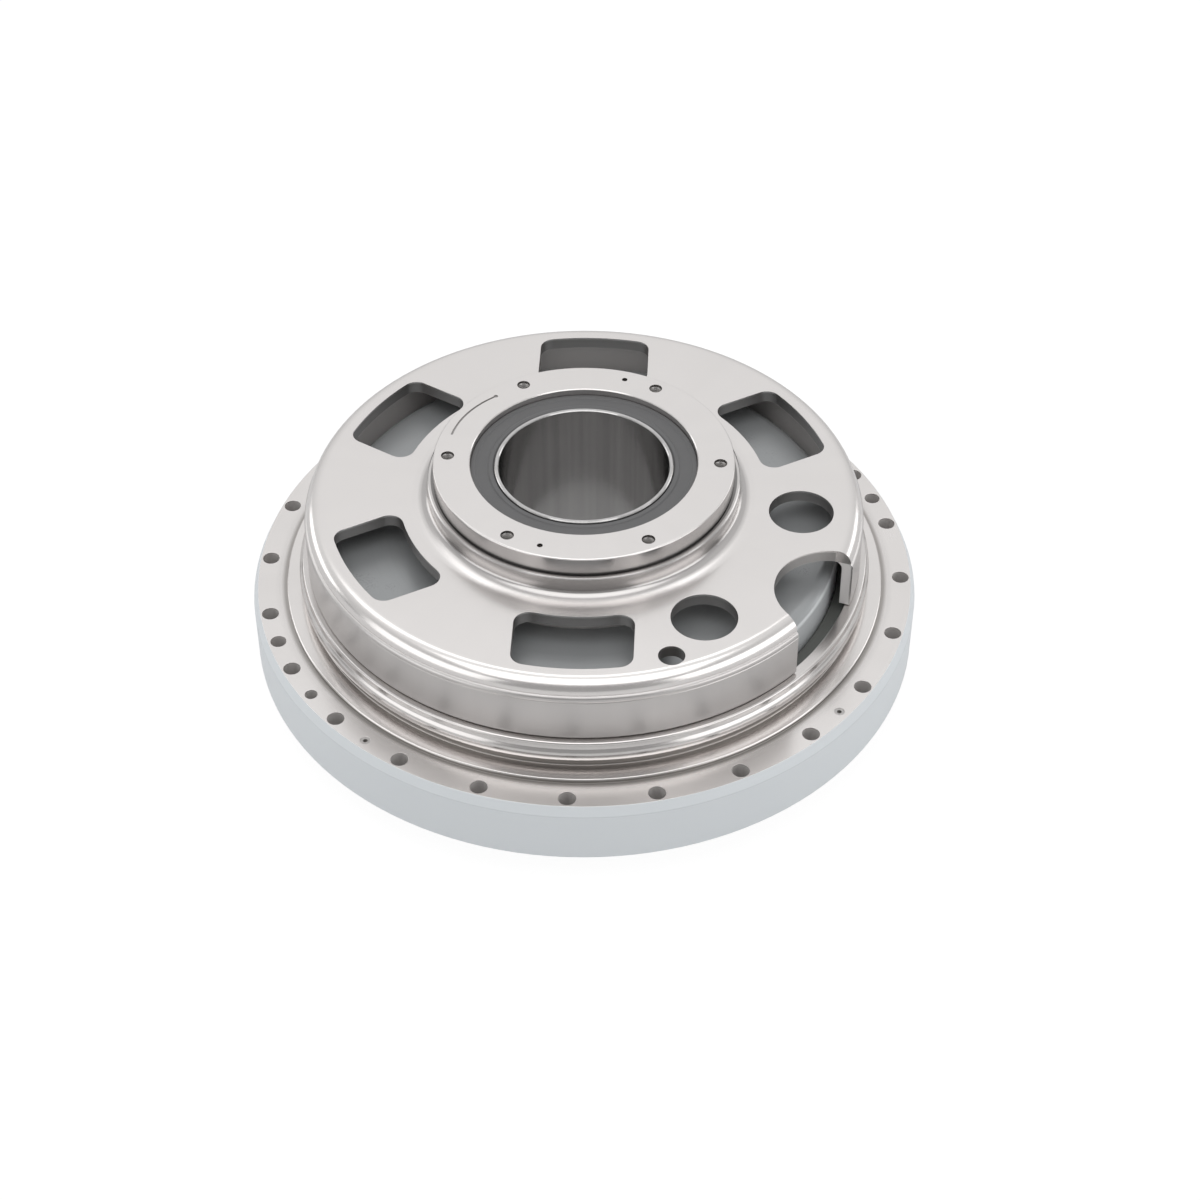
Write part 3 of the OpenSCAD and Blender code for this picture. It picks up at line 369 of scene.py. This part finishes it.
def case_finish():
    """The case: machined on top, dull in its neck and corners, where it is painted dark as painted shade, with
    painted shade beside its raised ring and pale paint round its rim.
    """
    finish = Finish("case_iron", (0.76, 0.735, 0.722), 1.0, 0.30)
    radius, z = finish.radius, finish.z
    haze = finish.mottle(16.0)
    fine = finish.turning(560.0)
    band = finish.streaks(5.0)
    grain = finish.mottle(700.0, 2.0)

    # Paint on the rim and under the flange, darker along a line at the taper's lower edge, and on the
    # upward-facing taper painted darker as painted shade
    side = radius.ramp(FLANGE_R - 3.4 * MM, FLANGE_R - 3.0 * MM)
    under = 1 - z.ramp(RIM_LOW_Z + 1 * MM, RIM_LOW_Z + 2 * MM)
    paint = (side + under * radius.ramp(UNDERSIDE_PAINT_R, UNDERSIDE_PAINT_R + 1 * MM)).math("MINIMUM", 1)
    seam = abs(z - TAPER_LOW_Z).math("LESS_THAN", 0.35 * MM) * side
    taper = side * z.ramp(TAPER_LOW_Z - 0.4 * MM, TAPER_LOW_Z + 0.2 * MM)
    taper_shade_and_seam = (seam * 0.35).math("MAXIMUM", taper * 0.14)

    # The flange's top, a painted shade beside the raised ring, and the walls of the bolt holes
    flange = radius.ramp(RING_R, RING_R + 0.6 * MM)
    blast = (flange + paint).math("MINIMUM", 1)
    ring_shade = (1 - radius.ramp(RING_R, RING_R + 8 * MM)) * radius.ramp(RING_R - 0.4 * MM, RING_R)
    hole = (radius.between(HOLE_CIRCLE_R - 6 * MM, HOLE_CIRCLE_R + 6 * MM, 0.2 * MM)
            * (1 - z.ramp(FLANGE_TOP_Z - 0.8 * MM, FLANGE_TOP_Z - 0.4 * MM)) * (1 - paint))

    # The bead over the neck, and painted shade in the neck and in the corner round the ring
    bead = z.ramp(NECK_TOP_Z - 0.4 * MM, NECK_TOP_Z + 0.4 * MM) * (1 - flange)
    neck = (radius.between(NECK_R - 2 * MM, NECK_R + 0.4 * MM, 1.2 * MM)
            * z.between(FLANGE_TOP_Z + RING_H + 0.3 * MM, NECK_TOP_Z - 0.3 * MM, 0.3 * MM))
    corner = (radius.between(RING_R - 0.2 * MM, RING_R + 1.4 * MM, 2.4 * MM)
              * z.between(FLANGE_TOP_Z - 0.2 * MM, FLANGE_TOP_Z + RING_H - 0.7 * MM, 0.4 * MM))
    neck_and_corner_shade = (neck * 0.82).math("MAXIMUM", corner * 0.55)

    pattern = varied(1, (fine, 0.04), (band, 0.08), (haze, 0.06))
    # The flange top beside the raised ring is painted darker here as painted shade.
    tone = 1 - hole * 0.15 - ring_shade * 0.14 - bead * 0.12
    # The neck and the corner round the ring are painted dark here as painted shade.
    bare = finish.mix(neck_and_corner_shade, finish.tinted(pattern * tone), PAINTED_SHADE)
    dull = 0.20 + flange * 0.05 + paint * 0.20 + neck_and_corner_shade * 0.2 + hole * 0.1
    # The paint is painted darker on the taper as painted shade, and darker along a line at its lower edge.
    finish.set(Base_Color=finish.mix(paint, bare, finish.mix(taper_shade_and_seam, PAINT, SHADED_PAINT)),
               Metallic=1 - paint - hole * 0.8,
               Roughness=varied(dull, (haze, 0.10), (fine, 0.04)))
    finish.bump(fine * (1 - blast) + grain * blast * 1.5, 0.000008, 0.3)
    return finish


def drum_finish():
    """The front carrier: dark phosphated steel, turned, with a painted highlight along its outer edge."""
    roughness = 0.30
    finish = Finish("drum_iron", (0.36, 0.372, 0.379), 0.30, roughness)
    haze = finish.mottle(18.0)
    fine = finish.turning(500.0)
    grain = finish.mottle(1200.0, 2.0)
    # A painted highlight: the outer edge of the drum is painted lighter.
    edge = finish.radius.ramp(DRUM_R - 1.2 * MM, DRUM_R - 0.5 * MM)
    finish.set(Base_Color=finish.tinted(varied(1 + edge * 0.8, (haze, 0.18), (fine, 0.10), (grain, 0.08))),
               Roughness=varied(roughness, (haze, 0.12), (grain, 0.05)))
    finish.bump(fine + grain * 0.6, 0.000008, 0.3)
    return finish


finishes = {
    "case_iron": case_finish(),
    "cover_steel": cover_finish(),
    "drum_iron": drum_finish(),
    "pipe_steel": turned_steel("pipe_steel", (0.57, 0.562, 0.558), 0.15, 0.60),
    "plug_steel": cut_steel("plug_steel", (0.48, 0.47, 0.46), 0.34),
    "bearing_steel": cut_steel("bearing_steel", (0.58, 0.60, 0.62), 0.16),
    "cage_brass": cut_steel("cage_brass", (0.62, 0.46, 0.20), 0.32),
    "gear_steel": cut_steel("gear_steel", (0.42, 0.435, 0.45), 0.28),
    "dowel_steel": cut_steel("dowel_steel", (0.62, 0.63, 0.64), 0.20),
    "bolt_steel": cut_steel("bolt_steel", (0.06, 0.062, 0.066), 0.38),
    "seal_rubber": rubber("seal_rubber", (0.115, 0.120, 0.112), 0.45),
    "hub_seal_rubber": rubber("hub_seal_rubber", (0.12, 0.12, 0.122), 0.42),
}

# ---------------------------------------------------------------- pieces

def body_of(node):
    return next(body for body, members in bodies.items() if node in members)


def only(piece):
    bpy.ops.object.select_all(action="DESELECT")
    piece.select_set(True)
    bpy.context.view_layer.objects.active = piece


def give_finish(piece, slot):
    for place in piece.material_slots:
        place.material = finishes[slot].material


def softened(node, width):
    """A copy of a solid with its sharp edges broken, which stands for it."""
    only(nodes[node])
    bpy.ops.object.duplicate()
    piece = bpy.context.object
    piece.name = node + "_dressed"
    piece.parent = None
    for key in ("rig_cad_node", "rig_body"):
        if key in piece:
            del piece[key]
    bpy.ops.object.mode_set(mode="EDIT")
    bpy.ops.mesh.select_all(action="SELECT")
    bpy.ops.mesh.remove_doubles(threshold=MERGE_DISTANCE)
    bpy.ops.mesh.dissolve_limited(angle_limit=radians(FLAT_ANGLE))
    bpy.ops.object.mode_set(mode="OBJECT")
    bpy.ops.object.shade_smooth_by_angle(angle=radians(SMOOTH_ANGLE))
    edge = piece.modifiers.new("edge", "BEVEL")
    edge.width = width
    edge.segments = EDGE_SEGMENTS
    edge.limit_method = "ANGLE"
    edge.angle_limit = radians(EDGE_ANGLE)
    edge.use_clamp_overlap = True
    edge.harden_normals = True
    bpy.ops.object.modifier_apply(modifier="edge")
    flats = piece.modifiers.new("flats", "WEIGHTED_NORMAL")
    flats.mode = "FACE_AREA"
    flats.weight = 100
    flats.keep_sharp = True
    bpy.ops.object.modifier_apply(modifier="flats")
    slot = slot_of[node]
    give_finish(piece, slot)
    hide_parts(node)
    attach(piece, body_of(node))


def add_hub_threads():
    """The rolled threads in the tapped holes of the hub."""
    bpy.ops.object.select_all(action="DESELECT")
    bpy.ops.mesh.primitive_circle_add(vertices=3, radius=THREAD_FORM_R, location=(HUB_HOLE_R + 0.05 * MM, 0, 0),
                                      rotation=(pi / 2, 0, pi))
    thread = bpy.context.object
    bpy.ops.object.transform_apply(location=True, rotation=True, scale=True)
    winding = thread.modifiers.new("winding", "SCREW")
    winding.steps = winding.render_steps = THREAD_STEPS
    winding.iterations = THREAD_TURNS
    winding.screw_offset = THREAD_PITCH
    bpy.ops.object.modifier_apply(modifier="winding")
    bpy.ops.object.mode_set(mode="EDIT")
    bpy.ops.mesh.select_all(action="SELECT")
    bpy.ops.mesh.normals_make_consistent(inside=False)
    bpy.ops.object.mode_set(mode="OBJECT")
    bpy.ops.object.shade_smooth_by_angle(angle=radians(40))
    copies = [thread]
    for _ in range(1, HUB_HOLE_COUNT):
        only(thread)
        bpy.ops.object.duplicate()
        copies.append(bpy.context.object)
    for hole, copy in enumerate(copies):
        turn = radians(HUB_HOLE_ANGLE + 360 / HUB_HOLE_COUNT * hole)
        copy.location = (HUB_HOLE_CIRCLE_R * cos(turn), HUB_HOLE_CIRCLE_R * sin(turn),
                         HUB_Z - (THREAD_TURNS + 1) * THREAD_PITCH)
        copy.select_set(True)
    bpy.context.view_layer.objects.active = thread
    bpy.ops.object.join()
    bpy.ops.object.transform_apply(location=True, rotation=True, scale=True)
    thread.name = "hub_hole_threads"
    thread.data.materials.clear()
    thread.data.materials.append(finishes["plug_steel"].material)
    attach(thread, "carrier")


for name, node in nodes.items():
    give_finish(node, slot_of[name])
for name, width in EDGE_WIDTHS.items():
    softened(name, width)
add_hub_threads()


# ---------------------------------------------------------------- stage, light and camera

def backdrop_share(tree, seen, mirrored):
    """How far a ray sees the plain white backdrop: seen by the camera and through glass, mirrored in metal."""
    path = tree.nodes.new("ShaderNodeLightPath")
    direct = tree.nodes.new("ShaderNodeMath")
    direct.operation = "MAXIMUM"
    tree.links.new(path.outputs["Is Camera Ray"], direct.inputs[0])
    tree.links.new(path.outputs["Is Transmission Ray"], direct.inputs[1])
    shares = []
    for ray, share in ((direct.outputs[0], seen), (path.outputs["Is Glossy Ray"], mirrored)):
        part = tree.nodes.new("ShaderNodeMath")
        part.operation = "MULTIPLY"
        part.inputs[1].default_value = share
        tree.links.new(ray, part.inputs[0])
        shares.append(part.outputs[0])
    either = tree.nodes.new("ShaderNodeMath")
    either.operation = "MAXIMUM"
    for place, share in enumerate(shares):
        tree.links.new(share, either.inputs[place])
    return either.outputs[0]


def add_floor():
    """A white floor under the part, with a soft shadow on it."""
    bpy.ops.object.select_all(action="DESELECT")
    bpy.ops.mesh.primitive_plane_add(size=FLOOR_SIZE, location=(0, 0, FLOOR_Z - 0.5 * MM))
    floor = bpy.context.object
    floor.name = "studio_floor"
    material = bpy.data.materials.new("studio_floor")
    material.use_nodes = True
    tree = material.node_tree
    tree.nodes.clear()
    out = tree.nodes.new("ShaderNodeOutputMaterial")
    mix = tree.nodes.new("ShaderNodeMixShader")
    diffuse = tree.nodes.new("ShaderNodeBsdfDiffuse")
    glow = tree.nodes.new("ShaderNodeEmission")
    diffuse.inputs["Color"].default_value = (FLOOR_GREY, FLOOR_GREY, FLOOR_GREY, 1)
    glow.inputs["Color"].default_value = (1, 1, 1, 1)
    glow.inputs["Strength"].default_value = FLOOR_GLOW
    tree.links.new(backdrop_share(tree, *FLOOR_SHARES), mix.inputs[0])
    tree.links.new(diffuse.outputs[0], mix.inputs[1])
    tree.links.new(glow.outputs[0], mix.inputs[2])
    tree.links.new(mix.outputs[0], out.inputs[0])
    floor.data.materials.append(material)


def add_world():
    """A pale room, brightest high up behind the object, that looks white from the camera."""
    world = bpy.data.worlds.new("studio")
    bpy.context.scene.world = world
    world.use_nodes = True
    tree = world.node_tree
    sky = tree.nodes["Background"]
    place = tree.nodes.new("ShaderNodeTexCoord")
    facing = tree.nodes.new("ShaderNodeVectorMath")
    facing.operation = "DOT_PRODUCT"
    facing.inputs[1].default_value = BRIGHT_SIDE
    half = tree.nodes.new("ShaderNodeMath")
    half.operation = "MULTIPLY_ADD"
    half.inputs[1].default_value = half.inputs[2].default_value = 0.5
    ramp = tree.nodes.new("ShaderNodeValToRGB")
    mix = tree.nodes.new("ShaderNodeMix")
    mix.data_type = "RGBA"
    for _ in ROOM_LEVELS[1:-1]:
        ramp.color_ramp.elements.new(0.5)
    for element, (position, level) in zip(ramp.color_ramp.elements, ROOM_LEVELS):
        element.position = position
        element.color = (level, level, level, 1)
    mix.inputs[7].default_value = (1, 1, 1, 1)
    tree.links.new(place.outputs["Generated"], facing.inputs[0])
    tree.links.new(facing.outputs["Value"], half.inputs[0])
    tree.links.new(half.outputs[0], ramp.inputs[0])
    tree.links.new(backdrop_share(tree, *ROOM_SHARES), mix.inputs[0])
    tree.links.new(ramp.outputs[0], mix.inputs[6])
    tree.links.new(mix.outputs[2], sky.inputs["Color"])
    sky.inputs["Strength"].default_value = 1.0


def add_softbox(name, place, turn, size, power):
    bpy.ops.object.light_add(type="AREA", location=place, rotation=[radians(angle) for angle in turn])
    light = bpy.context.object
    light.name = name
    light.data.shape = "RECTANGLE"
    light.data.size, light.data.size_y = size
    light.data.energy = power


def add_camera():
    bpy.ops.object.camera_add(location=CAMERA_AT, rotation=(radians(CAMERA_TILT), 0, 0))
    camera = bpy.context.object
    camera.data.lens = CAMERA_LENS
    camera.data.sensor_width = CAMERA_SENSOR
    camera.data.clip_end = 60
    bpy.context.scene.camera = camera


add_floor()
add_world()
for name, box in SOFTBOXES.items():
    add_softbox(name, *box)
add_camera()
bpy.context.scene.view_settings.view_transform = "Standard"
